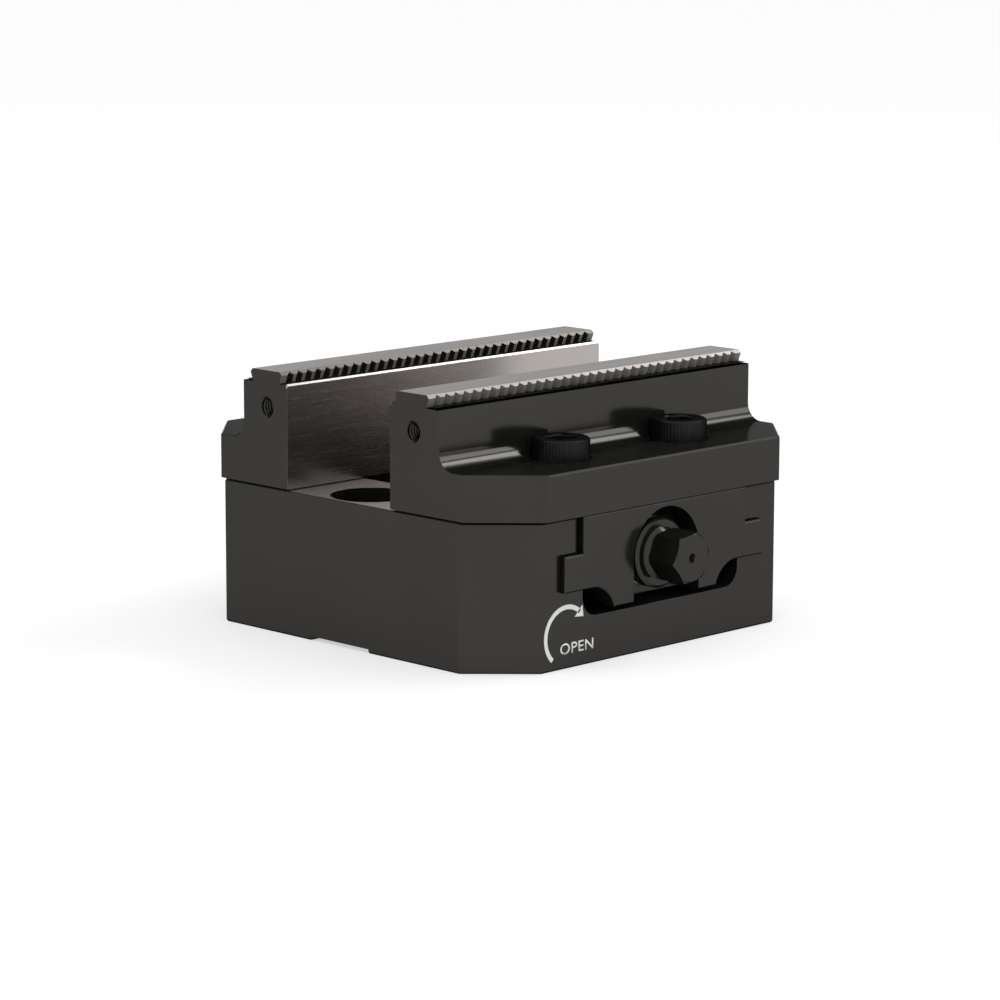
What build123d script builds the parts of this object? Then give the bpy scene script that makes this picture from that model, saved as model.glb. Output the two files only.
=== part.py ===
"""Self centering vise, in millimetres.

The origin is the middle of the base's underside. +Z is up, +X runs along the lead screw towards the
front jaw, and the jaws' gripping faces lie along Y. The model is drawn with the jaws part way open.
"""
from build123d import *
import math
import os

os.makedirs("parts", exist_ok=True)

# Base block
base_length = 127.0
base_width = 127.0
base_corner = 15.9
edge_break = 0.5

# T-slot through the base along X, from the floor upwards
floor_thickness = 13.3
channel_height = 8.1
flange_slot_height = 10.3
lip_thickness = 9.8
channel_half_width = 31.8
neck_slot_step = 2.3
flange_undercut = 6.65
channel_corner_radius = 5.4

# Base mounting holes, counterbored from the deck for M12 low head screws with washers
mount_hole_y = 50.8
mount_hole_radius = 6.75
mount_counterbore_radius = 11.6
mount_counterbore_depth = 8.8

# Groove across the underside
groove_width = 24.0
groove_depth = 1.2

# Carriages
carriage_length = 35.5
carriage_stand_up = 0.35
neck_side_clearance = 0.9
flange_side_clearance = 0.25
flange_top_clearance = 0.2
slide_clearance = 0.05
leg_floor_clearance = 1.7
leg_foot_half_width = 20.8
leg_scoop_radius = 9.0
wrench_bay_radius = 13.4
wrench_bay_depth = 8.0
carriage_edge_break = 0.4

# Jaws
jaw_opening = 41.8
jaw_length = 44.5
jaw_corner = 16.2
jaw_step_height = 12.85
upright_thickness = 18.7
upright_height = 29.8
jaw_fillet_radius = 5.0
jaw_end_break = 0.45

# Serrated dovetail rib on top of each jaw
rib_height = 3.2
rib_inner_inset = 1.9
rib_outer_inset = 3.1
rib_undercut = 1.2
rib_tooth_count = 36
rib_tooth_depth = 0.9
rib_tooth_width = 2.3

# Tapped M6 hole in each end of each jaw, for a work stop
stop_hole_radius = 2.5
stop_hole_depth = 14.0
stop_hole_rim_radius = 3.1
stop_hole_inset = 8.8
stop_hole_height = 22.4

# Jaw screws, M10 socket head cap screws
jaw_screw_spacing = 48.0
jaw_screw_radius = 5.0
jaw_screw_length = 25.0
jaw_screw_head_radius = 8.0
jaw_screw_head_height = 10.0
jaw_screw_socket = 8.0
jaw_screw_socket_depth = 5.0
jaw_screw_hole_radius = 5.5
jaw_screw_seat_depth = 4.2
head_clearance = 0.5
screw_head_break_share = 0.06
screw_thread_clearance = 0.02
tapped_hole_extra = 2.0

# Jaw dowels
jaw_dowel_radius = 4.0
jaw_dowel_length = 16.0
jaw_dowel_inset = 15.5
dowel_clearance = 0.01
dowel_end_gap = 0.5

# Lead screw, right-hand thread at the front and left-hand at the rear
screw_axis_height = 27.0
screw_radius = 10.0
screw_thread_length = 55.4
screw_end_break = 0.8
journal_radius = 7.5
drive_hex_width = 13.0
drive_hex_length = 11.5
drive_hex_turn = 8.6
drive_hex_break = 1.0
hex_break_slope = math.tan(math.radians(30))
hex_relief_length = 1.6
hex_relief_radius = 6.1
hex_relief_cone = 1.3
centre_drill_radius = 1.35
centre_drill_depth = 3.0
running_clearance = 0.05

# Centre yoke, its thrust washers, screws and dowels
yoke_thickness = 16.0
yoke_side_clearance = 0.2
yoke_top_clearance = 3.0
yoke_shoulder_break = 2.5
thrust_washer_thickness = 2.0
thrust_washer_radius = 12.9
washer_pocket_clearance = 0.05
yoke_screw_inset = 6.8
yoke_screw_radius = 3.0
yoke_screw_length = 16.0
yoke_screw_head_radius = 5.0
yoke_screw_head_height = 6.0
yoke_screw_socket = 5.0
yoke_screw_socket_depth = 3.0
yoke_screw_hole_radius = 3.3
yoke_screw_sink_depth = 6.6
yoke_dowel_spacing = 7.5
yoke_dowel_radius = 2.5
yoke_dowel_length = 12.0

# Heights and places worked out from the sizes above
ledge_z = floor_thickness + channel_height
lip_z = ledge_z + flange_slot_height
neck_slot_half_width = channel_half_width + neck_slot_step
flange_slot_half_width = neck_slot_half_width + flange_undercut
base_height = lip_z + lip_thickness
carriage_top_z = base_height + carriage_stand_up
step_z = carriage_top_z + jaw_step_height
upright_z = carriage_top_z + upright_height
jaw_width = base_width
jaw_inner_x = jaw_opening / 2
upright_outer_x = jaw_inner_x + upright_thickness
jaw_end_x = jaw_inner_x + jaw_length
carriage_inner_x = jaw_end_x - carriage_length
jaw_screw_x = upright_outer_x + jaw_screw_head_radius
jaw_screw_seat_z = step_z - jaw_screw_seat_depth
jaw_dowel_x = jaw_inner_x + jaw_dowel_inset
yoke_face_x = yoke_thickness / 2
shoulder_x = yoke_face_x + running_clearance
yoke_screw_y = channel_half_width - yoke_screw_inset
yoke_dowel_y = yoke_screw_y - yoke_dowel_spacing
screw_end_x = shoulder_x + screw_thread_length
overcut = 5.0


def face_from(points):
    """Flat face inside a closed outline of straight lines."""
    return make_face(Polyline(*points, close=True))


def mirrored_outline(half):
    """Closed outline from its right half, listed from bottom to top."""
    return half + [(-x, y) for x, y in reversed(half)]


def along_x(profile, start, end):
    """Extrude a profile drawn in Y and Z from one X to another."""
    return Pos(start, 0, 0) * extrude(Plane.YZ * profile, amount=end - start)


def along_y(profile, width):
    """Extrude a profile drawn in X and Z evenly to both sides of Y = 0."""
    return extrude(Plane.XZ * profile, amount=width / 2, both=True)


def upright_cylinder(x, y, bottom, top, radius):
    """Cylinder along Z between two heights."""
    return Pos(x, y, (bottom + top) / 2) * Cylinder(radius, top - bottom)


def box_between(low, high):
    """Box from its lowest to its highest corner."""
    size = [b - a for a, b in zip(low, high)]
    middle = [(a + b) / 2 for a, b in zip(low, high)]
    return Pos(*middle) * Box(*size)


def corner_at(sketch, x, y):
    """The vertex of a sketch nearest to a point."""
    return sketch.vertices().sort_by_distance((x, y, 0))[0]


def plan_with_corners(half_length, half_width, corner):
    """Rectangle in plan whose four corners are cut off at 45 degrees."""
    outline = mirrored_outline([
        (half_length - corner, -half_width),
        (half_length, -half_width + corner),
        (half_length, half_width - corner),
        (half_length - corner, half_width),
    ])
    return face_from(outline)


def slot_profile():
    """The T-slot's section, open through the deck."""
    top = base_height + overcut
    outline = mirrored_outline([
        (channel_half_width, floor_thickness),
        (channel_half_width, ledge_z),
        (flange_slot_half_width, ledge_z),
        (flange_slot_half_width, lip_z),
        (neck_slot_half_width, lip_z),
        (neck_slot_half_width, top),
    ])
    section = face_from(outline)
    corners = [corner_at(section, side * channel_half_width, floor_thickness) for side in (-1, 1)]
    return fillet(corners, channel_corner_radius)


def make_base_body():
    half_length = base_length / 2
    plan = plan_with_corners(half_length, base_width / 2, base_corner)
    body = extrude(plan, amount=base_height)
    rims = body.edges().group_by(Axis.Z)
    body = chamfer(rims[0] + rims[-1], edge_break)
    body -= along_x(slot_profile(), -half_length - overcut, half_length + overcut)
    groove_half = groove_width / 2
    body -= box_between((-groove_half, -base_width, -overcut), (groove_half, base_width, groove_depth))
    for side in (-1, 1):
        y = side * mount_hole_y
        seat = base_height - mount_counterbore_depth
        body -= upright_cylinder(0, y, -overcut, base_height + overcut, mount_hole_radius)
        body -= upright_cylinder(0, y, seat, base_height + overcut, mount_counterbore_radius)
        y = side * yoke_screw_y
        sink = groove_depth + yoke_screw_sink_depth
        body -= upright_cylinder(0, y, -overcut, floor_thickness + overcut, yoke_screw_hole_radius)
        body -= upright_cylinder(0, y, -overcut, sink, yoke_screw_head_radius + head_clearance)
        body -= yoke_dowel_hole(side)
    return body


def yoke_dowel_hole(side):
    """Hole for one yoke dowel, half in the slot's floor and half in the yoke."""
    reach = yoke_dowel_length / 2 + dowel_end_gap
    radius = yoke_dowel_radius + dowel_clearance
    return upright_cylinder(0, side * yoke_dowel_y, floor_thickness - reach, floor_thickness + reach, radius)


def carriage_profile():
    """Section of a carriage: neck, flanges and the two legs beside the screw."""
    neck = neck_slot_half_width - neck_side_clearance
    flange = flange_slot_half_width - flange_side_clearance
    flange_bottom = ledge_z + slide_clearance
    flange_top = lip_z - flange_top_clearance
    leg_bottom = floor_thickness + leg_floor_clearance
    scoop_z = flange_bottom - leg_scoop_radius
    scoop_reach = math.sqrt(leg_scoop_radius ** 2 - (leg_bottom - scoop_z) ** 2)
    scoop_y = leg_foot_half_width + scoop_reach
    outline = mirrored_outline([
        (leg_foot_half_width, leg_bottom),
        (scoop_y, leg_bottom),
        (scoop_y, flange_bottom),
        (flange, flange_bottom),
        (flange, flange_top),
        (neck, flange_top),
        (neck, carriage_top_z),
    ])
    section = face_from(outline)
    for side in (-1, 1):
        section -= Pos(side * scoop_y, scoop_z) * Circle(leg_scoop_radius)
    return section


def wrench_bay():
    """Arched bay round the drive hex, open downwards, in the carriage's outer end."""
    arch = Pos(0, screw_axis_height) * Circle(wrench_bay_radius)
    arch += Pos(0, screw_axis_height / 2) * Rectangle(2 * wrench_bay_radius, screw_axis_height)
    return along_x(arch, jaw_end_x - wrench_bay_depth, jaw_end_x + overcut)


def make_front_carriage():
    body = along_x(carriage_profile(), carriage_inner_x, jaw_end_x)
    ends = body.faces().filter_by(Axis.X)
    body = chamfer(ends.edges(), carriage_edge_break)
    body -= wrench_bay()
    bore = Pos(0, screw_axis_height) * Circle(screw_radius + running_clearance)
    body -= along_x(bore, carriage_inner_x - overcut, jaw_end_x)
    hole_bottom = jaw_screw_seat_z - jaw_screw_length - tapped_hole_extra
    for side in (-1, 1):
        y = side * jaw_screw_spacing / 2
        hole = jaw_screw_radius + screw_thread_clearance
        body -= upright_cylinder(jaw_screw_x, y, hole_bottom, carriage_top_z + overcut, hole)
        body -= jaw_dowel_hole(side)
    return body


def jaw_dowel_hole(side):
    """Hole for one jaw dowel, half in the carriage and half in the jaw."""
    reach = jaw_dowel_length / 2 + dowel_end_gap
    y = side * jaw_screw_spacing / 2
    radius = jaw_dowel_radius + dowel_clearance
    return upright_cylinder(jaw_dowel_x, y, carriage_top_z - reach, carriage_top_z + reach, radius)


def jaw_profile():
    """Section of the front jaw: foot, fillet and upright, with its long edges eased."""
    outline = [
        (jaw_inner_x, carriage_top_z),
        (jaw_end_x, carriage_top_z),
        (jaw_end_x, step_z),
        (upright_outer_x, step_z),
        (upright_outer_x, upright_z),
        (jaw_inner_x, upright_z),
    ]
    section = face_from(outline)
    section = fillet(corner_at(section, upright_outer_x, step_z), jaw_fillet_radius)
    eased = [
        corner_at(section, jaw_end_x, step_z),
        corner_at(section, upright_outer_x, upright_z),
        corner_at(section, jaw_inner_x, upright_z),
    ]
    return chamfer(eased, edge_break)


def rib_profile():
    """Section of the dovetail rib, wider at its top than at its foot."""
    top = upright_z + rib_height
    inner = jaw_inner_x + rib_inner_inset
    outer = upright_outer_x - rib_outer_inset
    return face_from([
        (inner + rib_undercut, upright_z - edge_break),
        (inner + rib_undercut, upright_z),
        (inner, top),
        (outer, top),
        (outer - rib_undercut, upright_z),
        (outer - rib_undercut, upright_z - edge_break),
    ])


def rib_notches():
    """V-shaped cuts down both flanks of the rib, one between each pair of teeth."""
    pitch = jaw_width / rib_tooth_count
    inner = jaw_inner_x + rib_inner_inset
    outer = upright_outer_x - rib_outer_inset
    half = rib_tooth_width / 2
    cuts = []
    for edge, inward in ((inner, 1), (outer, -1)):
        mouth = edge - inward * overcut / 2
        slope = half / rib_tooth_depth
        mouth_half = half + slope * overcut / 2
        root = edge + inward * rib_tooth_depth
        notch = face_from([(mouth, -mouth_half), (root, 0), (mouth, mouth_half)])
        cutter = Pos(0, 0, -overcut / 2) * extrude(notch, amount=rib_height + 2 * overcut)
        lean = math.degrees(math.atan2(rib_undercut, rib_height))
        cutter = Pos(edge, 0, rib_height) * Rot(0, -inward * lean, 0) * Pos(-edge, 0, -rib_height) * cutter
        for step in range(1, rib_tooth_count):
            y = -jaw_width / 2 + step * pitch
            cuts.append(Pos(0, y, upright_z) * cutter)
    return cuts


def make_rib():
    rib = along_y(rib_profile(), jaw_width)
    return rib - rib_notches()


def jaw_corner_cut(side):
    """Wedge that takes one outer plan corner off the jaw's foot."""
    y = side * jaw_width / 2
    reach = jaw_corner + overcut
    wedge = face_from([
        (jaw_end_x - jaw_corner - overcut, y + side * overcut),
        (jaw_end_x + overcut, y + side * overcut),
        (jaw_end_x + overcut, y - side * reach),
    ])
    return Pos(0, 0, carriage_top_z - overcut) * extrude(wedge, amount=jaw_step_height + 2 * overcut)


def end_rims(body):
    """Edges round the jaw's two ends and its cut corners, apart from its underside and upright edges."""
    ends = [f for f in body.faces() if abs(f.normal_at().Y) > 0.1 and abs(f.normal_at().Z) < 0.1]
    rims = ShapeList(e for f in ends for e in f.edges()).filter_by(Axis.Z, reverse=True)
    return rims.filter_by(lambda e: e.center().Z > carriage_top_z + edge_break)


def make_front_jaw():
    body = along_y(jaw_profile(), jaw_width)
    for side in (-1, 1):
        body -= jaw_corner_cut(side)
    body = chamfer(end_rims(body), jaw_end_break)
    body += make_rib()
    for side in (-1, 1):
        y = side * jaw_screw_spacing / 2
        pocket_top = jaw_screw_seat_z + jaw_screw_head_height + 2 * head_clearance
        pocket_radius = jaw_screw_head_radius + head_clearance
        body -= upright_cylinder(jaw_screw_x, y, jaw_screw_seat_z, pocket_top, pocket_radius)
        body -= upright_cylinder(jaw_screw_x, y, carriage_top_z - overcut, step_z, jaw_screw_hole_radius)
        body -= jaw_dowel_hole(side)
        body -= stop_hole(side)
    return body


def stop_hole(side):
    """Tapped hole with a countersunk rim in one end of the jaw."""
    rim = stop_hole_rim_radius - stop_hole_radius
    outline = face_from([
        (0, 0),
        (stop_hole_rim_radius, 0),
        (stop_hole_radius, rim),
        (stop_hole_radius, stop_hole_depth),
        (0, stop_hole_depth + stop_hole_radius / 2),
    ])
    hole = revolve(Plane.XZ * outline, Axis.Z)
    x = jaw_inner_x + stop_hole_inset
    z = carriage_top_z + stop_hole_height
    return Pos(x, side * jaw_width / 2, z) * Rot(side * 90, 0, 0) * hole


def cap_screw(radius, length, head_radius, head_height, socket, socket_depth):
    """Socket head cap screw, its head's underside at the origin and its head along +Z."""
    rim = head_radius * screw_head_break_share
    outline = face_from([
        (0, -length),
        (radius, -length),
        (radius, 0),
        (head_radius, 0),
        (head_radius, head_height - rim),
        (head_radius - rim, head_height),
        (0, head_height),
    ])
    body = revolve(Plane.XZ * outline, Axis.Z)
    hexagon = RegularPolygon(socket / 2, 6, major_radius=False)
    return body - Pos(0, 0, head_height - socket_depth) * extrude(hexagon, amount=socket_depth + 1)


def lead_screw_half():
    """The front half of the lead screw: half the journal, the threaded part and the drive hex."""
    outline = face_from([
        (0, 0),
        (0, journal_radius),
        (shoulder_x, journal_radius),
        (shoulder_x, screw_radius - screw_end_break),
        (shoulder_x + screw_end_break, screw_radius),
        (screw_end_x - screw_end_break, screw_radius),
        (screw_end_x, screw_radius - screw_end_break),
        (screw_end_x, hex_relief_radius + hex_relief_cone),
        (screw_end_x + hex_relief_cone, hex_relief_radius),
        (screw_end_x + hex_relief_length, hex_relief_radius),
        (screw_end_x + hex_relief_length, 0),
    ])
    body = revolve(Plane.XY * outline, Axis.X)
    corner_radius = drive_hex_width / math.sqrt(3)
    hexagon = Rot(0, 0, drive_hex_turn) * RegularPolygon(drive_hex_width / 2, 6, major_radius=False)
    start = screw_end_x + hex_relief_length
    end = screw_end_x + drive_hex_length
    bar = along_x(hexagon, start, end)
    slope = drive_hex_break * hex_break_slope
    envelope = face_from([
        (start, 0),
        (start, corner_radius - slope),
        (start + drive_hex_break, corner_radius + slope),
        (end - drive_hex_break, corner_radius + slope),
        (end, corner_radius - drive_hex_break),
        (end, 0),
    ])
    bar &= revolve(Plane.XY * envelope, Axis.X)
    body += bar
    drill = face_from([(end, 0), (end, centre_drill_radius), (end - centre_drill_depth, 0)])
    return body - revolve(Plane.XY * drill, Axis.X)


def make_lead_screw():
    half = lead_screw_half()
    return Pos(0, 0, screw_axis_height) * (half + mirror(half, Plane.YZ))


def fork_face(half_width, arch_radius, top, bottom):
    """Face in Y and Z with an arch over the screw's axis and straight sides down to a level."""
    slot = Pos(0, screw_axis_height) * Circle(arch_radius)
    drop = screw_axis_height - bottom + overcut
    slot += Pos(0, screw_axis_height - drop / 2) * Rectangle(2 * arch_radius, drop)
    height = top - bottom
    return Pos(0, bottom + height / 2) * Rectangle(2 * half_width, height) - slot


def make_centre_yoke():
    half_width = channel_half_width - yoke_side_clearance
    top = base_height - yoke_top_clearance
    face = fork_face(half_width, journal_radius + running_clearance, top, floor_thickness)
    shoulders = [corner_at(face, side * half_width, top) for side in (-1, 1)]
    face = chamfer(shoulders, yoke_shoulder_break)
    feet = [corner_at(face, side * half_width, floor_thickness) for side in (-1, 1)]
    face = chamfer(feet, channel_corner_radius)
    body = along_x(face, -yoke_face_x, yoke_face_x)
    pocket = Pos(0, screw_axis_height) * Circle(thrust_washer_radius + washer_pocket_clearance)
    pocket += Pos(0, screw_axis_height / 2) * Rectangle(
        2 * (thrust_washer_radius + washer_pocket_clearance), screw_axis_height)
    for side in (-1, 1):
        floor = side * (yoke_face_x - thrust_washer_thickness)
        body -= along_x(pocket, floor, side * (yoke_face_x + overcut))
        hole = yoke_screw_radius + screw_thread_clearance
        screw_top = groove_depth + yoke_screw_sink_depth + yoke_screw_length + tapped_hole_extra
        body -= upright_cylinder(0, side * yoke_screw_y, 0, screw_top, hole)
        body -= yoke_dowel_hole(side)
    return body


def make_thrust_washer():
    """Slotted washer in the yoke's front pocket, open at the bottom like the yoke."""
    arch = Pos(0, screw_axis_height) * Circle(thrust_washer_radius)
    drop = screw_axis_height - floor_thickness
    arch += Pos(0, screw_axis_height - drop / 2) * Rectangle(2 * thrust_washer_radius, drop)
    gap = Pos(0, screw_axis_height) * Circle(journal_radius + running_clearance)
    gap += Pos(0, screw_axis_height / 2) * Rectangle(
        2 * (journal_radius + running_clearance), screw_axis_height)
    return along_x(arch - gap, yoke_face_x - thrust_washer_thickness, yoke_face_x)


def make_parts():
    """Every node's solid, by name."""
    front_jaw = make_front_jaw()
    front_carriage = make_front_carriage()
    front_washer = make_thrust_washer()
    parts = {
        "base_body": make_base_body(),
        "front_carriage": front_carriage,
        "rear_carriage": mirror(front_carriage, Plane.YZ),
        "front_jaw": front_jaw,
        "rear_jaw": mirror(front_jaw, Plane.YZ),
        "lead_screw": make_lead_screw(),
        "centre_yoke": make_centre_yoke(),
        "front_thrust_washer": front_washer,
        "rear_thrust_washer": mirror(front_washer, Plane.YZ),
    }
    jaw_screw = cap_screw(jaw_screw_radius, jaw_screw_length, jaw_screw_head_radius,
                          jaw_screw_head_height, jaw_screw_socket, jaw_screw_socket_depth)
    jaw_pin = Cylinder(jaw_dowel_radius, jaw_dowel_length)
    yoke_screw = cap_screw(yoke_screw_radius, yoke_screw_length, yoke_screw_head_radius,
                           yoke_screw_head_height, yoke_screw_socket, yoke_screw_socket_depth)
    yoke_pin = Cylinder(yoke_dowel_radius, yoke_dowel_length)
    for hand, side in (("left", -1), ("right", 1)):
        y = side * jaw_screw_spacing / 2
        for end, way in (("front", 1), ("rear", -1)):
            parts[f"{end}_jaw_screw_{hand}"] = Pos(way * jaw_screw_x, y, jaw_screw_seat_z) * jaw_screw
            parts[f"{end}_jaw_dowel_{hand}"] = Pos(way * jaw_dowel_x, y, carriage_top_z) * jaw_pin
        head_z = groove_depth + yoke_screw_sink_depth
        parts[f"yoke_screw_{hand}"] = Pos(0, side * yoke_screw_y, head_z) * Rot(180, 0, 0) * yoke_screw
        parts[f"yoke_dowel_{hand}"] = Pos(0, side * yoke_dowel_y, floor_thickness) * yoke_pin
    return parts


for node, solid in make_parts().items():
    export_step(solid, f"parts/{node}.step")
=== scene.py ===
"""Looks of the self centering vise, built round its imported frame. Lengths are in metres."""
import math

import bmesh
import bpy
from bpy.props import FloatProperty, FloatVectorProperty, IntProperty, PointerProperty, StringProperty
from mathutils import Matrix, Vector


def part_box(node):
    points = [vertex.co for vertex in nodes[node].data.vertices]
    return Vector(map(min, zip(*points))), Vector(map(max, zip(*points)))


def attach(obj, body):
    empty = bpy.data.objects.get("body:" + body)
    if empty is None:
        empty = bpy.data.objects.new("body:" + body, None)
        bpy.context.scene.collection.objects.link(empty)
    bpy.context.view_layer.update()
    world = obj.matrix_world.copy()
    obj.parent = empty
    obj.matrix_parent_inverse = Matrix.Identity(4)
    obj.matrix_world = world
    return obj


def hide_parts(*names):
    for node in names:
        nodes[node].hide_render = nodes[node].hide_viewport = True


bl_info = {
    "name": "Self centering vise",
    "version": (1, 0, 0),
    "blender": (4, 5, 0),
    "location": "View3D > Sidebar > Vise",
    "description": "Models the finishes and the fine pieces of a self centering vise on its frame",
    "category": "Add Mesh",
}

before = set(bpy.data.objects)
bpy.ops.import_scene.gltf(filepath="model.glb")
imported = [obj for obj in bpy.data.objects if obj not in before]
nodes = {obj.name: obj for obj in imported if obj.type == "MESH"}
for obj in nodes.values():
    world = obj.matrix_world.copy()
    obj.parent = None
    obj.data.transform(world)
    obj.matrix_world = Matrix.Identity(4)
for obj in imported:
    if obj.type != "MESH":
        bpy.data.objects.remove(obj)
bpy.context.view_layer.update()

MM = 0.001
SCREW_AXIS_Z = 27.0 * MM
BASE_FACE_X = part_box("base_body")[1].x
BASE_TOP_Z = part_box("base_body")[1].z
JAW_INNER_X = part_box("front_jaw")[0].x
JAW_END_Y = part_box("front_jaw")[1].y
JAW_END_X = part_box("front_jaw")[1].x
RIB_TOP_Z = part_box("front_jaw")[1].z
UPRIGHT_TOP_Z = 71.65 * MM
RIB_MIDDLE_X = JAW_INNER_X + 8.75 * MM
STOP_HOLE_X = JAW_INNER_X + 8.8 * MM
STOP_HOLE_Z = 64.25 * MM
JAW_SCREW = {"radius": 5.0 * MM, "shank": 25.0 * MM, "head_radius": 8.0 * MM, "head_height": 10.0 * MM,
             "socket": 8.0 * MM, "socket_depth": 5.0 * MM}
YOKE_SCREW = {"radius": 3.0 * MM, "shank": 16.0 * MM, "head_radius": 5.0 * MM, "head_height": 6.0 * MM,
              "socket": 5.0 * MM, "socket_depth": 3.0 * MM}
OXIDE_TINT = (0.19, 0.19, 0.19, 1)
ENDS = (("front", 1), ("rear", -1))
HANDS = (("left", -1), ("right", 1))


# Sizes and colours
def colour(name, description, default):
    return FloatVectorProperty(name=name, description=description, subtype="COLOR", size=3,
                               min=0.0, max=1.0, default=default)


def length(name, description, default):
    return FloatProperty(name=name, description=description, unit="LENGTH", min=0.0,
                         precision=5, default=default)


class ViseSizes(bpy.types.PropertyGroup):
    thread_pitch: length("Thread pitch", "Advance of the lead screw's thread in one turn", 4.0 * MM)
    thread_root: length("Thread root radius", "Radius at the bottom of the lead screw's thread", 7.75 * MM)
    thread_start: length("Thread start", "Distance from the middle to the thread's inner end", 10.0 * MM)
    thread_end: length("Thread end", "Distance from the middle to the thread's outer end", 61.0 * MM)
    knurl_ridges: IntProperty(name="Knurl ridges", description="Ridges round a cap screw's head", min=12,
                              max=120, default=52)
    knurl_depth: length("Knurl depth", "Depth of the grooves between the ridges", 0.22 * MM)
    tooth_bevel: length("Tooth bevel", "Bevel along the rib's two toothed edges", 1.25 * MM)
    stop_thread_pitch: length("Stop thread pitch", "Pitch of the tapped holes in the jaws' ends", 1.0 * MM)
    mark_height: length("Mark height", "Thickness of the painted mark", 0.03 * MM)


class ViseColours(bpy.types.PropertyGroup):
    oxide: colour("Black oxide", "Base, carriages and jaws", (0.0475, 0.0460, 0.0430))
    ground: colour("Ground steel", "Gripping faces", (0.37, 0.345, 0.33))
    deck: colour("Deck", "Ground top of the base", (0.22, 0.206, 0.197))
    rib: colour("Rib", "Serrated ribs on top of the jaws", (0.100, 0.091, 0.084))
    teeth: colour("Teeth", "Bevel along the ribs' outer edges", (0.150, 0.138, 0.130))
    # The flanks' pale colour is partly cut steel and partly painted light in the undercut's shade.
    milled: colour("Milled steel", "Flanks of the ribs' teeth", (0.20, 0.19, 0.18))
    lead_screw: colour("Lead screw", "Turned steel of the lead screw", (0.10, 0.097, 0.093))
    cap_screw: colour("Cap screws", "Black cap screws", (0.020, 0.020, 0.0195))
    yoke: colour("Yoke", "Yoke that holds the lead screw", (0.060, 0.058, 0.055))
    bronze: colour("Bronze", "Thrust washers", (0.42, 0.24, 0.09))
    pin: colour("Pins", "Ground dowel pins", (0.50, 0.50, 0.51))
    mark: colour("Mark", "Painted arrow and word", (0.86, 0.86, 0.84))
    floor: colour("Floor", "Floor under the vise", (0.50, 0.50, 0.50))


# Node helpers
def add(tree, kind, settings=None, **inputs):
    """A node with its settings. Inputs are values, or sockets to link from."""
    made = tree.nodes.new(kind)
    for key, value in (settings or {}).items():
        setattr(made, key, value)
    for key, value in inputs.items():
        place = int(key[2:]) if key.startswith("at") else key.replace("_", " ")
        if isinstance(value, bpy.types.NodeSocket):
            tree.links.new(value, made.inputs[place])
        else:
            made.inputs[place].default_value = value
    return made


def maths(tree, operation, first, second=0.0, third=0.0):
    return add(tree, "ShaderNodeMath", {"operation": operation}, at0=first, at1=second, at2=third).outputs[0]


def between(tree, value, low, high, to_low=0.0, to_high=1.0):
    """The value moved from one range to another, and held at its ends."""
    return add(tree, "ShaderNodeMapRange", Value=value, From_Min=low, From_Max=high, To_Min=to_low,
               To_Max=to_high).outputs["Result"]


def grain(tree, place, scale, stretch=(1, 1, 1), detail=4.0):
    """Noise on Object coordinates, from 0 to 1, stretched by three factors."""
    moved = add(tree, "ShaderNodeMapping", Vector=place, Scale=stretch).outputs["Vector"]
    return add(tree, "ShaderNodeTexNoise", Vector=moved, Scale=scale, Detail=detail).outputs["Fac"]


def new_material(name):
    material = bpy.data.materials.new(name)
    material.use_nodes = True
    tree = material.node_tree
    tree.nodes.clear()
    return material, tree


def rgba(values):
    return (*values, 1.0)


def blended(tree, share, first, second):
    """The first colour where the share is 0 and the second where it is 1."""
    return add(tree, "ShaderNodeMix", {"data_type": "RGBA"}, at0=share, at6=first, at7=second).outputs[2]


def mixed(tree, share, first, second):
    """The first shader where the share is 0 and the second where it is 1."""
    return add(tree, "ShaderNodeMixShader", at0=share, at1=first, at2=second).outputs[0]


def parts(tree, vector):
    """The X, Y and Z sockets of a vector."""
    return add(tree, "ShaderNodeSeparateXYZ", Vector=vector).outputs


def facing_parts(tree):
    """X, Y and Z of the direction that the flat face looks in."""
    return parts(tree, add(tree, "ShaderNodeNewGeometry").outputs["True Normal"])


def tinted(tree, values, amount, darker, lighter):
    """A colour that a share from 0 to 1 moves from a darker to a lighter tone."""
    dark = rgba(v * darker for v in values)
    light = rgba(min(v * lighter, 1.0) for v in values)
    return blended(tree, amount, dark, light)


def eased_normal(tree, radius):
    return add(tree, "ShaderNodeBevel", {"samples": 4}, Radius=radius).outputs["Normal"]


def edge_share(tree, normal):
    """1 along the solid's edges and 0 on its faces."""
    face = add(tree, "ShaderNodeNewGeometry").outputs["Normal"]
    dot = add(tree, "ShaderNodeVectorMath", {"operation": "DOT_PRODUCT"}, at0=normal, at1=face)
    return between(tree, dot.outputs["Value"], 0.995, 0.90)


def bumped(tree, height, distance, strength, normal):
    return add(tree, "ShaderNodeBump", Height=height, Distance=distance, Strength=strength,
               Normal=normal).outputs["Normal"]


# Finishes
def oxide_shader(tree, place, values, roughness=0.14):
    """Black oxide over milled steel: even, satin, with a fine grain and slightly paler edges, which are
    partly wear and partly a painted highlight along the edge breaks.
    """
    cloud = grain(tree, place, 45.0, detail=5.0)
    speck = grain(tree, place, 2600.0, detail=2.0)
    normal = eased_normal(tree, 0.14 * MM)
    # Paler edges: partly wear and partly a painted highlight standing in for the light that the edge breaks
    # catch.
    wear_and_edge_highlight = maths(tree, "MULTIPLY", edge_share(tree, normal), between(tree, cloud, 0.35, 0.7, 0.1, 0.6))
    base = tinted(tree, values, cloud, 0.93, 1.07)
    pale = blended(tree, wear_and_edge_highlight, base, rgba(v * 1.5 for v in values))
    rough = between(tree, cloud, 0.3, 0.7, roughness - 0.015, roughness + 0.025)
    return add(tree, "ShaderNodeBsdfPrincipled", Base_Color=pale, Metallic=0.8, Roughness=rough,
               Specular_Tint=OXIDE_TINT, Specular_IOR_Level=0.0,
               Normal=bumped(tree, speck, 0.003 * MM, 0.2, normal)).outputs[0]


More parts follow.
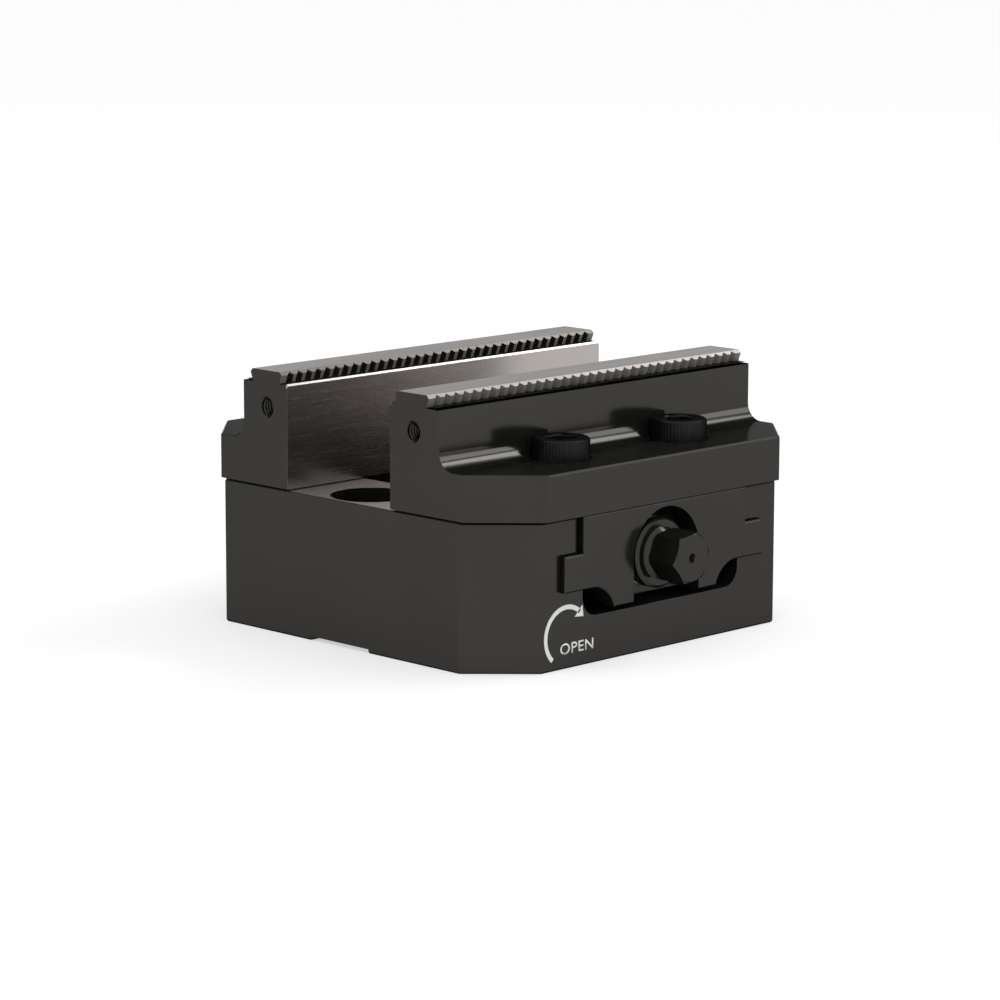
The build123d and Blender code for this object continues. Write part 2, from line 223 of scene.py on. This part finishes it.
def broken_oxide_shader(tree, place, values, where=1.0):
    """Black oxide that is duller on the edge breaks that face up and out."""
    facing = facing_parts(tree)
    out = between(tree, maths(tree, "ABSOLUTE", facing["X"]), 0.6, 0.65)
    up = between(tree, facing["Z"], 0.6, 0.65)
    share = maths(tree, "MULTIPLY", maths(tree, "MULTIPLY", out, up), where)
    return mixed(tree, share, oxide_shader(tree, place, values), oxide_shader(tree, place, values, 0.5))


def ground_shader(tree, place, values, roughness=0.24):
    """Ground steel whose fine scratches run along Y."""
    lines = grain(tree, place, 2600.0, (1.0, 0.02, 1.0), 3.0)
    cloud = grain(tree, place, 60.0, (1.0, 0.4, 1.0))
    share = maths(tree, "MULTIPLY_ADD", lines, 0.6, maths(tree, "MULTIPLY", cloud, 0.4))
    normal = eased_normal(tree, 0.12 * MM)
    rough = between(tree, share, 0.3, 0.7, roughness - 0.04, roughness + 0.06)
    return add(tree, "ShaderNodeBsdfPrincipled", Metallic=1.0,
               Base_Color=tinted(tree, values, share, 0.95, 1.05), Roughness=rough,
               Normal=bumped(tree, lines, 0.001 * MM, 0.15, normal)).outputs[0]


def milled_with_painted_fill_shader(tree, place, values):
    """Steel as the cutter left it, matt between the ribs' teeth, and paler than the rib so that it partly
    paints light into the shade under the rib's bevels.
    """
    cloud = grain(tree, place, 500.0)
    normal = eased_normal(tree, 0.12 * MM)
    return add(tree, "ShaderNodeBsdfPrincipled", Metallic=0.5,
               Base_Color=tinted(tree, values, cloud, 0.85, 1.15),
               Roughness=between(tree, cloud, 0.3, 0.7, 0.6, 0.75),
               Normal=bumped(tree, cloud, 0.004 * MM, 0.3, normal)).outputs[0]


def object_place(tree):
    return add(tree, "ShaderNodeTexCoord").outputs["Object"]


def finished(name, shader):
    """A material from a function that makes its shader."""
    material, tree = new_material(name)
    add(tree, "ShaderNodeOutputMaterial", Surface=shader(tree, object_place(tree)))
    return material


def base_shader(tree, place):
    """Black oxide, with the deck that the jaws slide over ground bright."""
    colours = bpy.context.scene.vise_colours
    deck = maths(tree, "GREATER_THAN", parts(tree, place)["Z"], BASE_TOP_Z - 0.02 * MM)
    return mixed(tree, deck, broken_oxide_shader(tree, place, colours.oxide),
                 ground_shader(tree, place, colours.deck, 0.36))


def jaw_shader(tree, place):
    """Black oxide, with ground steel on the gripping face and on the rib, and dull edge breaks."""
    colours = bpy.context.scene.vise_colours
    spot, facing = parts(tree, place), facing_parts(tree)
    break_width = 0.7 * MM
    grip_depth = 0.48 * MM
    across = maths(tree, "ABSOLUTE", spot["X"])
    sideways = maths(tree, "ABSOLUTE", facing["Y"])
    inward = maths(tree, "LESS_THAN", sideways, 0.98)
    rib = maths(tree, "GREATER_THAN", spot["Z"], UPRIGHT_TOP_Z + 0.03 * MM)
    grip = maths(tree, "LESS_THAN", across, JAW_INNER_X + grip_depth)
    outside = maths(tree, "GREATER_THAN", across, RIB_MIDDLE_X)
    along = maths(tree, "LESS_THAN", sideways, 0.3)
    bright = maths(tree, "MULTIPLY", inward, maths(tree, "MAXIMUM", outside, along))
    above = maths(tree, "GREATER_THAN", spot["Z"], UPRIGHT_TOP_Z - break_width)
    beyond = maths(tree, "GREATER_THAN", across, JAW_END_X - break_width)
    outer = maths(tree, "MAXIMUM", above, beyond)
    raised = between(tree, facing["Z"], 0.45, 0.5)
    slanted = maths(tree, "MULTIPLY", raised, between(tree, facing["Z"], 0.95, 0.9))
    gripping = mixed(tree, maths(tree, "MULTIPLY", grip, inward),
                     broken_oxide_shader(tree, place, colours.oxide, outer),
                     ground_shader(tree, place, colours.ground))
    top = mixed(tree, maths(tree, "MULTIPLY", outside, slanted),
                ground_shader(tree, place, colours.rib, 0.34),
                ground_shader(tree, place, colours.teeth, 0.34))
    # The rib's flanks take the milled finish, whose paler colour partly paints light into the shade under
    # the bevels.
    toothed = mixed(tree, raised, milled_with_painted_fill_shader(tree, place, colours.milled), top)
    return mixed(tree, maths(tree, "MULTIPLY", rib, bright), gripping, toothed)


def turned_shader(tree, place, values, roughness=0.26):
    """Turned steel whose tool marks run round the X axis."""
    rings = grain(tree, place, 3800.0, (1.0, 0.03, 0.03), 2.0)
    cloud = grain(tree, place, 160.0)
    normal = eased_normal(tree, 0.12 * MM)
    share = maths(tree, "MULTIPLY_ADD", rings, 0.5, maths(tree, "MULTIPLY", cloud, 0.5))
    return add(tree, "ShaderNodeBsdfPrincipled", Metallic=1.0,
               Base_Color=tinted(tree, values, share, 0.8, 1.2),
               Roughness=between(tree, share, 0.3, 0.7, roughness - 0.06, roughness + 0.1),
               Normal=bumped(tree, rings, 0.003 * MM, 0.3, normal)).outputs[0]


def lead_screw_shader(tree, place):
    """Black oxide at the two ends, and steel that the nuts have rubbed bright along the threads."""
    scene = bpy.context.scene
    across = maths(tree, "ABSOLUTE", parts(tree, place)["X"])
    ends = maths(tree, "GREATER_THAN", across, scene.vise_sizes.thread_end)
    return mixed(tree, ends, turned_shader(tree, place, scene.vise_colours.lead_screw),
                 oxide_shader(tree, place, scene.vise_colours.oxide, 0.2))


def cap_screw_shader(tree, place):
    """Blackened alloy steel, whose edges are painted paler: a painted highlight on the head's rim and edges,
    with some wear.
    """
    values = bpy.context.scene.vise_colours.cap_screw
    cloud = grain(tree, place, 220.0)
    speck = grain(tree, place, 3000.0, detail=2.0)
    normal = eased_normal(tree, 0.12 * MM)
    # Painted highlight: the head's rim and edges are made paler to stand in for the light they catch, with
    # some wear.
    wear_and_edge_highlight = maths(tree, "MULTIPLY", edge_share(tree, normal), 0.8)
    base = blended(tree, wear_and_edge_highlight, tinted(tree, values, cloud, 0.7, 1.4), rgba(v * 4.5 for v in values))
    return add(tree, "ShaderNodeBsdfPrincipled", Base_Color=base, Metallic=0.8,
               Specular_Tint=OXIDE_TINT, Specular_IOR_Level=0.0,
               Roughness=between(tree, cloud, 0.3, 0.7, 0.26, 0.36),
               Normal=bumped(tree, speck, 0.005 * MM, 0.3, normal)).outputs[0]


def bronze_shader(tree, place):
    return turned_shader(tree, place, bpy.context.scene.vise_colours.bronze, 0.34)


def mark_shader(tree, place):
    """Matt white paint, a little uneven."""
    cloud = grain(tree, place, 900.0)
    return add(tree, "ShaderNodeBsdfPrincipled",
               Base_Color=tinted(tree, bpy.context.scene.vise_colours.mark, cloud, 0.9, 1.05),
               Roughness=between(tree, cloud, 0.3, 0.7, 0.45, 0.6),
               Normal=bumped(tree, cloud, 0.01 * MM, 0.2, eased_normal(tree, 0.05 * MM))).outputs[0]


def steel(maker, key, **extra):
    """A shader function for one of the colours that a user can change."""
    return lambda tree, place: maker(tree, place, getattr(bpy.context.scene.vise_colours, key), **extra)


def dress(piece, material):
    piece.data.materials.clear()
    piece.data.materials.append(material)


# Modelling helpers
def clear_selection():
    if bpy.context.mode != "OBJECT":
        bpy.ops.object.mode_set(mode="OBJECT")
    bpy.ops.object.select_all(action="DESELECT")


def activate(piece):
    """Select only this piece and make it the active one."""
    clear_selection()
    piece.select_set(True)
    bpy.context.view_layer.objects.active = piece


def edit(piece):
    activate(piece)
    bpy.ops.object.mode_set(mode="EDIT")


def leave_edit(piece):
    bpy.ops.object.mode_set(mode="OBJECT")
    piece.select_set(False)
    return piece


def pick(piece, kind, test):
    """In edit mode, select only the vertices, edges or faces that pass a test."""
    bpy.ops.mesh.select_mode(type=kind)
    bpy.ops.mesh.select_all(action="DESELECT")
    mesh = bmesh.from_edit_mesh(piece.data)
    for item in {"VERT": mesh.verts, "EDGE": mesh.edges, "FACE": mesh.faces}[kind]:
        if test(item):
            item.select_set(True)
    mesh.select_flush_mode()
    bmesh.update_edit_mesh(piece.data)


def named(piece, name):
    piece.name = name
    piece.data.name = name
    return piece


def chain(name, points, close=False):
    """A line through points, drawn by extruding one vertex. It stays in edit mode, all selected."""
    clear_selection()
    bpy.ops.mesh.primitive_plane_add(size=MM, location=(0, 0, 0))
    piece = named(bpy.context.active_object, name)
    bpy.ops.object.mode_set(mode="EDIT")
    bpy.ops.mesh.select_mode(type="VERT")
    bpy.ops.mesh.select_all(action="SELECT")
    bpy.ops.mesh.merge(type="CENTER")
    bpy.ops.transform.translate(value=points[0])
    for start, end in zip(points, points[1:]):
        step = Vector(end) - Vector(start)
        bpy.ops.mesh.extrude_vertices_move(TRANSFORM_OT_translate={"value": step})
    bpy.ops.mesh.select_all(action="SELECT")
    if close:
        pick(piece, "VERT", lambda v: len(v.link_edges) == 1)
        bpy.ops.mesh.edge_face_add()
        bpy.ops.mesh.select_all(action="SELECT")
    return piece


def heal(threshold=1e-7):
    """In edit mode, merge doubles and turn every face outwards."""
    bpy.ops.mesh.select_all(action="SELECT")
    bpy.ops.mesh.remove_doubles(threshold=threshold)
    bpy.ops.mesh.normals_make_consistent(inside=False)


def turned(name, points, steps):
    """Points as (radius, height) spun about the Z axis into a closed shell. It stays in edit mode."""
    piece = chain(name, [(radius, 0, height) for radius, height in points])
    bpy.ops.mesh.spin(steps=steps, angle=2 * math.pi, center=(0, 0, 0), axis=(0, 0, 1))
    heal()
    return piece


def smooth(piece, angle):
    activate(piece)
    bpy.ops.object.shade_smooth_by_angle(angle=math.radians(angle))
    piece.select_set(False)
    return piece


def keep_flats(piece):
    """Give the normals along a smooth edge to the larger face, so that flat faces stay flat."""
    weighted = piece.modifiers.new("flats", "WEIGHTED_NORMAL")
    weighted.mode = "FACE_AREA"
    weighted.weight = 90
    weighted.keep_sharp = True
    activate(piece)
    bpy.ops.object.modifier_apply(modifier="flats")
    piece.select_set(False)


def copy_at(piece, name, matrix):
    """A copy with its own mesh, whose place is in its mesh."""
    made = piece.copy()
    made.data = piece.data.copy()
    named(made, name)
    bpy.context.scene.collection.objects.link(made)
    made.data.transform(matrix)
    if matrix.determinant() < 0:
        edit(made)
        heal()
        leave_edit(made)
    return made


def own_copy(node, name):
    """A free copy of a CAD node, with its own mesh."""
    made = node.copy()
    made.data = node.data.copy()
    bpy.context.scene.collection.objects.link(made)
    made.parent = None
    for key in list(made.keys()):
        del made[key]
    activate(made)
    bpy.ops.mesh.customdata_custom_splitnormals_clear()
    return named(made, name)


def discard(piece):
    bpy.data.objects.remove(piece, do_unlink=True)


def join(name, pieces):
    """Several pieces as one object."""
    clear_selection()
    for piece in pieces:
        piece.select_set(True)
    bpy.context.view_layer.objects.active = pieces[0]
    bpy.ops.object.join()
    pieces[0].select_set(False)
    return named(pieces[0], name)


def helix(name, profile, pitch, turns, steps, close=False):
    """A profile of (radius, height) points wound about the Z axis with the Screw modifier."""
    piece = chain(name, [(radius, 0, height) for radius, height in profile], close)
    leave_edit(piece)
    activate(piece)
    winding = piece.modifiers.new("winding", "SCREW")
    winding.axis = "Z"
    winding.angle = 2 * math.pi
    winding.screw_offset = pitch
    winding.iterations = turns
    winding.steps = steps
    winding.render_steps = steps
    bpy.ops.object.modifier_apply(modifier="winding")
    return piece


def model_cap_screw(name, radius, shank, head_radius, head_height, socket, socket_depth):
    """A socket head cap screw along Z, its head's underside at the origin."""
    ridges = bpy.context.scene.vise_sizes.knurl_ridges
    depth = bpy.context.scene.vise_sizes.knurl_depth
    rim = head_radius * 0.07
    tip = radius * 0.15
    mouth = socket / math.sqrt(3) * 1.03
    profile = [
        (0, -shank), (radius - tip, -shank), (radius, -shank + tip), (radius, 0),
        (head_radius - rim, 0), (head_radius, rim), (head_radius, head_height - 1.6 * rim),
        (head_radius - 0.25 * rim, head_height - 0.5 * rim), (head_radius - rim, head_height),
        (mouth, head_height),
    ]
    piece = turned(name, profile, 2 * ridges)

    def groove(vertex):
        """Every second line of the head's side."""
        x, y, z = vertex.co
        if not rim * 0.9 < z < head_height - 1.5 * rim:
            return False
        return round(math.atan2(y, x) * ridges / math.pi) % 2 == 1

    pick(piece, "VERT", groove)
    factor = 1 - depth / head_radius
    bpy.ops.transform.resize(value=(factor, factor, 1), center_override=(0, 0, 0))
    model_hex_socket(piece, socket, head_height, socket_depth)
    heal()
    leave_edit(piece)
    return smooth(piece, 28)


def model_hex_socket(piece, socket, top, depth):
    """In edit mode, close a head's round mouth with a hexagonal socket."""
    corner = socket / math.sqrt(3)
    lead_in = 0.35 * MM

    def at(spot, height, reach):
        """Whether a spot lies at a height and inside the mouth."""
        return abs(spot.z - height) < 1e-7 and math.hypot(spot.x, spot.y) < corner * reach

    bpy.ops.mesh.select_all(action="DESELECT")
    bpy.ops.mesh.primitive_circle_add(vertices=6, radius=corner, location=(0, 0, top - lead_in))
    hexagon = {round(math.degrees(math.atan2(v.co.y, v.co.x))) for v in
               bmesh.from_edit_mesh(piece.data).verts if v.select}
    if len(hexagon) != 6:
        raise RuntimeError("the socket's hexagon isn't there")

    def lower_loop(edge):
        return all(at(v.co, top - lead_in, 1.01) for v in edge.verts)

    def in_mouth(edge):
        return all(at(v.co, top, 1.04) for v in edge.verts) or lower_loop(edge)

    pick(piece, "EDGE", in_mouth)
    bpy.ops.mesh.bridge_edge_loops()
    pick(piece, "EDGE", lower_loop)
    bpy.ops.mesh.extrude_region_move(TRANSFORM_OT_translate={"value": (0, 0, lead_in - depth)})
    bpy.ops.mesh.extrude_region_move(TRANSFORM_OT_translate={"value": (0, 0, -0.12 * corner)})
    bpy.ops.transform.resize(value=(0.6, 0.6, 1))
    bpy.ops.mesh.edge_face_add()


# Operators
class VISE_OT_finishes(bpy.types.Operator):
    """Give the base, carriages, yoke, washers and pins their finishes"""

    bl_idname = "vise.finishes"
    bl_label = "Finishes"

    def execute(self, context):
        finishes = {
            "_carriage": finished("black_oxide", steel(broken_oxide_shader, "oxide")),
            "base_body": finished("base_steel", base_shader),
            "centre_yoke": finished("yoke_steel", steel(oxide_shader, "yoke")),
            "washer": finished("turned_bronze", bronze_shader),
            "dowel": finished("pin_steel", steel(ground_shader, "pin", roughness=0.18)),
        }
        for name, piece in nodes.items():
            for key, finish in finishes.items():
                if key in name:
                    dress(piece, finish)
        return {"FINISHED"}


class VISE_OT_jaws(bpy.types.Operator):
    """Bevel the toothed edges of the jaws' ribs"""

    bl_idname = "vise.jaws"
    bl_label = "Jaws"

    def execute(self, context):
        finish = finished("jaw_steel", jaw_shader)
        bevel = context.scene.vise_sizes.tooth_bevel
        hair = 0.001 * MM

        def on_rib(face):
            return all(v.co.z > UPRIGHT_TOP_Z - hair for v in face.verts)

        for end, _ in ENDS:
            jaw = own_copy(nodes[f"{end}_jaw"], f"{end}_jaw_toothed")
            edit(jaw)
            heal()
            bpy.ops.mesh.dissolve_limited(angle_limit=math.radians(0.5))
            bpy.ops.mesh.select_all(action="SELECT")
            bpy.ops.mesh.bisect(plane_co=(0, 0, UPRIGHT_TOP_Z), plane_no=(0, 0, 1))
            vertices = bmesh.from_edit_mesh(jaw.data).verts
            edges = [v.co.x for v in vertices if v.co.z > RIB_TOP_Z - hair]
            for x, side in ((min(edges), -1), (max(edges), 1)):
                pick(jaw, "FACE", on_rib)
                bpy.ops.mesh.bisect(plane_co=(x - side * bevel, 0, RIB_TOP_Z), plane_no=(side, 0, 1),
                                    clear_outer=True, use_fill=True)
            heal()
            leave_edit(jaw)
            smooth(jaw, 25)
            keep_flats(jaw)
            dress(jaw, finish)
            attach(jaw, f"{end}_slide")
            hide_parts(f"{end}_jaw")
        return {"FINISHED"}


class VISE_OT_lead_screw(bpy.types.Operator):
    """Cut the right and left hand threads into the lead screw"""

    bl_idname = "vise.lead_screw"
    bl_label = "Lead screw"

    def execute(self, context):
        sizes = context.scene.vise_sizes
        start, end, root = sizes.thread_start, sizes.thread_end, sizes.thread_root
        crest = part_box("lead_screw")[1].y
        bar = own_copy(nodes["lead_screw"], "lead_screw_bar")
        edit(bar)
        heal()
        for x in (-end, -start, start, end):
            bpy.ops.mesh.select_all(action="SELECT")
            bpy.ops.mesh.bisect(plane_co=(x, 0, SCREW_AXIS_Z), plane_no=(1, 0, 0))

        def on_thread(face):
            spot = face.calc_center_median()
            return start < abs(spot.x) < end and math.hypot(spot.y, spot.z - SCREW_AXIS_Z) > 0.95 * crest

        pick(bar, "FACE", on_thread)
        bpy.ops.mesh.delete(type="FACE")
        share = root / crest
        for x in (-end, -start, start, end):
            pick(bar, "EDGE", lambda e, x=x: e.is_boundary and all(abs(v.co.x - x) < 1e-6 for v in e.verts))
            bpy.ops.mesh.extrude_region_move(TRANSFORM_OT_translate={"value": (0, 0, 0)})
            bpy.ops.transform.resize(value=(1, share, share), center_override=(x, 0, SCREW_AXIS_Z))
        leave_edit(bar)
        front = self.thread(crest, root, start, end, sizes.thread_pitch)
        place = Matrix.Translation((0, 0, SCREW_AXIS_Z)) @ Matrix.Rotation(math.pi / 2, 4, "Y")
        halves = [copy_at(front, "thread_front", place),
                  copy_at(front, "thread_rear", Matrix.Scale(-1, 4, (1, 0, 0)) @ place)]
        discard(front)
        piece = join("lead_screw_threaded", [bar, *halves])
        smooth(piece, 25)
        dress(piece, finished("lead_screw_steel", lead_screw_shader))
        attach(piece, "screw")
        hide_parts("lead_screw")
        return {"FINISHED"}

    def thread(self, crest, root, start, end, pitch):
        """One half's right hand trapezoid thread along Z, cut off square and closed at both ends."""
        flank = (crest - root) * math.tan(math.radians(15))
        land = (pitch - 2 * flank) / 2
        heights = [0, land, land + flank, 2 * land + flank, pitch]
        radii = [crest, crest, root, root, crest]
        turns = math.ceil((end - start) / pitch) + 3
        profile = [(radius, start - 1.5 * pitch + height) for radius, height in zip(radii, heights)]
        piece = helix("thread", profile, pitch, turns, 48)
        edit(piece)
        heal(1e-6)
        overlap = 0.3 * MM
        for height, normal in ((start - overlap, -1), (end + overlap, 1)):
            bpy.ops.mesh.select_all(action="SELECT")
            bpy.ops.mesh.bisect(plane_co=(0, 0, height), plane_no=(0, 0, normal),
                                clear_outer=True, use_fill=True)
        heal()
        return leave_edit(piece)


class VISE_OT_cap_screws(bpy.types.Operator):
    """Model the cap screws of the jaws and of the yoke"""

    bl_idname = "vise.cap_screws"
    bl_label = "Cap screws"

    def execute(self, context):
        finish = finished("black_screw_steel", cap_screw_shader)
        jaw = model_cap_screw("jaw_cap", **JAW_SCREW)
        for end, way in ENDS:
            for hand, side in HANDS:
                node = f"{end}_jaw_screw_{hand}"
                low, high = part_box(node)
                seat_z = high.z - JAW_SCREW["head_height"]
                place = Matrix.Translation(((low.x + high.x) / 2, (low.y + high.y) / 2, seat_z))
                own_angle = 11 + 17 * side * way
                turn = Matrix.Rotation(math.radians(own_angle), 4, "Z")
                self.seat(jaw, node, place @ turn, f"{end}_slide", finish)
        yoke = model_cap_screw("yoke_cap", **YOKE_SCREW)
        for hand, side in HANDS:
            node = f"yoke_screw_{hand}"
            low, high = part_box(node)
            seat_z = low.z + YOKE_SCREW["head_height"]
            place = Matrix.Translation(((low.x + high.x) / 2, (low.y + high.y) / 2, seat_z))
            self.seat(yoke, node, place @ Matrix.Rotation(math.pi, 4, "X"), "base", finish)
        discard(jaw)
        discard(yoke)
        return {"FINISHED"}

    def seat(self, model, node, matrix, body, finish):
        piece = copy_at(model, f"{node}_knurled", matrix)
        dress(piece, finish)
        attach(piece, body)
        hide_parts(node)


class VISE_OT_stop_threads(bpy.types.Operator):
    """Wind the threads of the tapped holes in the jaws' ends"""

    bl_idname = "vise.stop_threads"
    bl_label = "Stop hole threads"

    def execute(self, context):
        pitch = context.scene.vise_sizes.stop_thread_pitch
        wall = 2.52 * MM
        profile = [(wall, 0), (wall - 0.32 * MM, 0.36 * pitch), (wall, 0.72 * pitch)]
        ridge = helix("stop_thread", profile, pitch, 11, 32, close=True)
        edit(ridge)
        heal()
        leave_edit(ridge)
        finish = finished("tapped_steel", steel(oxide_shader, "oxide"))
        for end, way in ENDS:
            for hand, side in HANDS:
                mouth = Vector((way * STOP_HOLE_X, side * (JAW_END_Y - 0.8 * MM), STOP_HOLE_Z))
                turn = Matrix.Rotation(side * math.pi / 2, 4, "X")
                piece = copy_at(ridge, f"{end}_stop_thread_{hand}", Matrix.Translation(mouth) @ turn)
                smooth(piece, 30)
                dress(piece, finish)
                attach(piece, f"{end}_slide")
        discard(ridge)
        return {"FINISHED"}


class VISE_OT_turn_mark(bpy.types.Operator):
    """Paint the arrow and the word that show which way the lead screw opens the jaws"""

    bl_idname = "vise.turn_mark"
    bl_label = "Turn mark"

    word: StringProperty(name="Word", description="Word under the arrow", default="OPEN")
    stretch: FloatProperty(name="Stretch", description="Width of the word against its own width",
                           default=1.18)

    def execute(self, context):
        middle = Vector((-38.1, 9.1)) * MM
        radius, width = 8.1 * MM, 1.3 * MM
        low, high = math.radians(50), math.radians(228)
        arc = self.arc(middle, radius, width, low, high)
        head = self.head(middle, radius)
        word = self.letters(self.word)
        piece = join("turn_mark", [arc, head, word])
        edit(piece)
        heal()
        bpy.ops.mesh.select_all(action="SELECT")
        thickness = context.scene.vise_sizes.mark_height
        bpy.ops.mesh.extrude_region_move(TRANSFORM_OT_translate={"value": (thickness, 0, 0)})
        heal(1e-8)
        leave_edit(piece)
        dress(piece, finished("white_paint", mark_shader))
        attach(piece, "base")
        return {"FINISHED"}

    def arc(self, middle, radius, width, low, high):
        """The arrow's curved line, flat on the base's front face."""
        steps = 44
        spots = [low + (high - low) * i / steps for i in range(steps + 1)]
        inner = radius - width / 2
        points = [(BASE_FACE_X, middle.x + inner * math.cos(a), middle.y + inner * math.sin(a))
                  for a in spots]
        piece = chain("arc", points)
        bpy.ops.mesh.extrude_region_move(TRANSFORM_OT_translate={"value": (0, 0, 0)})
        share = 1 + width / inner
        bpy.ops.transform.resize(value=(1, share, share), center_override=(BASE_FACE_X, middle.x, middle.y))
        return leave_edit(piece)

    def head(self, middle, radius):
        """The arrow's three-cornered head."""
        corners = [(radius, 35), (radius + 2.0 * MM, 52), (radius - 2.2 * MM, 57)]
        points = [(BASE_FACE_X, middle.x + r * math.cos(math.radians(a)),
                   middle.y + r * math.sin(math.radians(a))) for r, a in corners]
        piece = chain("head", points, close=True)
        bpy.ops.mesh.edge_face_add()
        return leave_edit(piece)

    def letters(self, word):
        """The word as a flat mesh under the arrow."""
        clear_selection()
        bpy.ops.object.text_add(location=(0, 0, 0))
        text = bpy.context.active_object
        text.data.body = word
        text.data.size = 4.25 * MM
        text.data.space_character = 1.06
        text.data.offset = 0.04 * MM
        bpy.ops.object.convert(target="MESH")
        piece = bpy.context.active_object
        turn = Matrix(((0, 0, 1, 0), (self.stretch, 0, 0, 0), (0, 1, 0, 0), (0, 0, 0, 1)))
        piece.data.transform(Matrix.Translation((BASE_FACE_X, -40.7 * MM, 4.2 * MM)) @ turn)
        piece.select_set(False)
        return piece


class VISE_OT_stage(bpy.types.Operator):
    """Set the floor, the soft lights and the camera"""

    bl_idname = "vise.stage"
    bl_label = "Stage"

    def execute(self, context):
        self.floor(context)
        self.world(context)
        self.light("softbox_front", (0.617, 0.698, 0.363), 1.3, (0.60, 0.46), 3.0)
        self.light("softbox_rear", (0.24, 0.698, 0.676), 1.3, (0.60, 0.22), 3.6)
        self.light("softbox_left", (-0.55, -0.80, 0.75), 1.6, (0.9, 0.6), 2.0)
        self.camera(context)
        context.scene.view_settings.view_transform = "Standard"
        return {"FINISHED"}

    def floor(self, context):
        clear_selection()
        bpy.ops.mesh.primitive_circle_add(vertices=96, radius=12.0, fill_type="NGON",
                                          location=(0, 0, -0.05 * MM))
        floor = named(context.active_object, "floor")
        bpy.ops.object.transform_apply(location=True)
        material, tree = new_material("floor_white")
        seen = self.seen_directly(tree)
        values = context.scene.vise_colours.floor
        matt = add(tree, "ShaderNodeBsdfDiffuse", Color=rgba(values))
        lift = add(tree, "ShaderNodeEmission", Strength=maths(tree, "MULTIPLY", seen, 0.55))
        add(tree, "ShaderNodeOutputMaterial",
            Surface=add(tree, "ShaderNodeAddShader", at0=matt.outputs[0], at1=lift.outputs[0]).outputs[0])
        dress(floor, material)

    def seen_directly(self, tree):
        """1 for rays from the camera, off gloss or through glass."""
        path = add(tree, "ShaderNodeLightPath")
        gloss = maths(tree, "MAXIMUM", path.outputs["Is Glossy Ray"], path.outputs["Is Transmission Ray"])
        return maths(tree, "MAXIMUM", path.outputs["Is Camera Ray"], gloss)

    def world(self, context):
        world = bpy.data.worlds.new("studio")
        world.use_nodes = True
        tree = world.node_tree
        tree.nodes.clear()
        strength = between(tree, self.seen_directly(tree), 0.0, 1.0, 0.85, 1.0)
        sky = add(tree, "ShaderNodeBackground", Color=(1, 1, 1, 1), Strength=strength)
        add(tree, "ShaderNodeOutputWorld", Surface=sky.outputs[0])
        context.scene.world = world

    def light(self, name, direction, distance, size, power):
        lamp = bpy.data.lights.new(name, "AREA")
        lamp.shape = "RECTANGLE"
        lamp.size, lamp.size_y = size
        lamp.energy = power
        holder = bpy.data.objects.new(name, lamp)
        bpy.context.scene.collection.objects.link(holder)
        aim = Vector((0, 0, 0.05))
        holder.location = aim + Vector(direction).normalized() * distance
        holder.rotation_euler = (aim - holder.location).to_track_quat("-Z", "Y").to_euler()

    def camera(self, context):
        """The photograph's camera, from its turn round the vise, its rise, its roll and its distance."""
        turn, rise, roll = (math.radians(v) for v in (44.8239, 10.3675, 0.1490))
        distance, aside, above = (v * MM for v in (1081.78, 0.1466, 32.9862))
        back = Vector((math.sin(turn) * math.cos(rise), -math.cos(turn) * math.cos(rise), math.sin(rise)))
        level = Vector((math.cos(turn), math.sin(turn), 0))
        up = back.cross(level)
        right = math.cos(roll) * level + math.sin(roll) * up
        top = math.cos(roll) * up - math.sin(roll) * level
        place = back * distance + right * aside + top * above
        lens = bpy.data.cameras.new("camera")
        lens.sensor_width = 36.0
        lens.lens = 133.892
        lens.clip_start, lens.clip_end = 0.01, 40.0
        camera = bpy.data.objects.new("camera", lens)
        context.scene.collection.objects.link(camera)
        camera.matrix_world = Matrix((
            (right.x, top.x, back.x, place.x),
            (right.y, top.y, back.y, place.y),
            (right.z, top.z, back.z, place.z),
            (0, 0, 0, 1),
        ))
        context.scene.camera = camera


OPERATORS = (VISE_OT_finishes, VISE_OT_jaws, VISE_OT_lead_screw, VISE_OT_cap_screws, VISE_OT_stop_threads,
             VISE_OT_turn_mark, VISE_OT_stage)


class VISE_PT_panel(bpy.types.Panel):
    bl_label = "Self centering vise"
    bl_idname = "VISE_PT_panel"
    bl_space_type = "VIEW_3D"
    bl_region_type = "UI"
    bl_category = "Vise"

    def draw(self, context):
        for operator in OPERATORS:
            self.layout.operator(operator.bl_idname)
        for group in (context.scene.vise_sizes, context.scene.vise_colours):
            for key in group.__annotations__:
                self.layout.prop(group, key)


CLASSES = (ViseSizes, ViseColours, *OPERATORS, VISE_PT_panel)


def register():
    for item in CLASSES:
        bpy.utils.register_class(item)
    bpy.types.Scene.vise_sizes = PointerProperty(type=ViseSizes)
    bpy.types.Scene.vise_colours = PointerProperty(type=ViseColours)


def unregister():
    del bpy.types.Scene.vise_colours
    del bpy.types.Scene.vise_sizes
    for item in reversed(CLASSES):
        bpy.utils.unregister_class(item)


def main():
    register()
    bpy.ops.vise.finishes()
    bpy.ops.vise.jaws()
    bpy.ops.vise.lead_screw()
    bpy.ops.vise.cap_screws()
    bpy.ops.vise.stop_threads()
    bpy.ops.vise.turn_mark()
    bpy.ops.vise.stage()


if __name__ == "__main__":
    main()
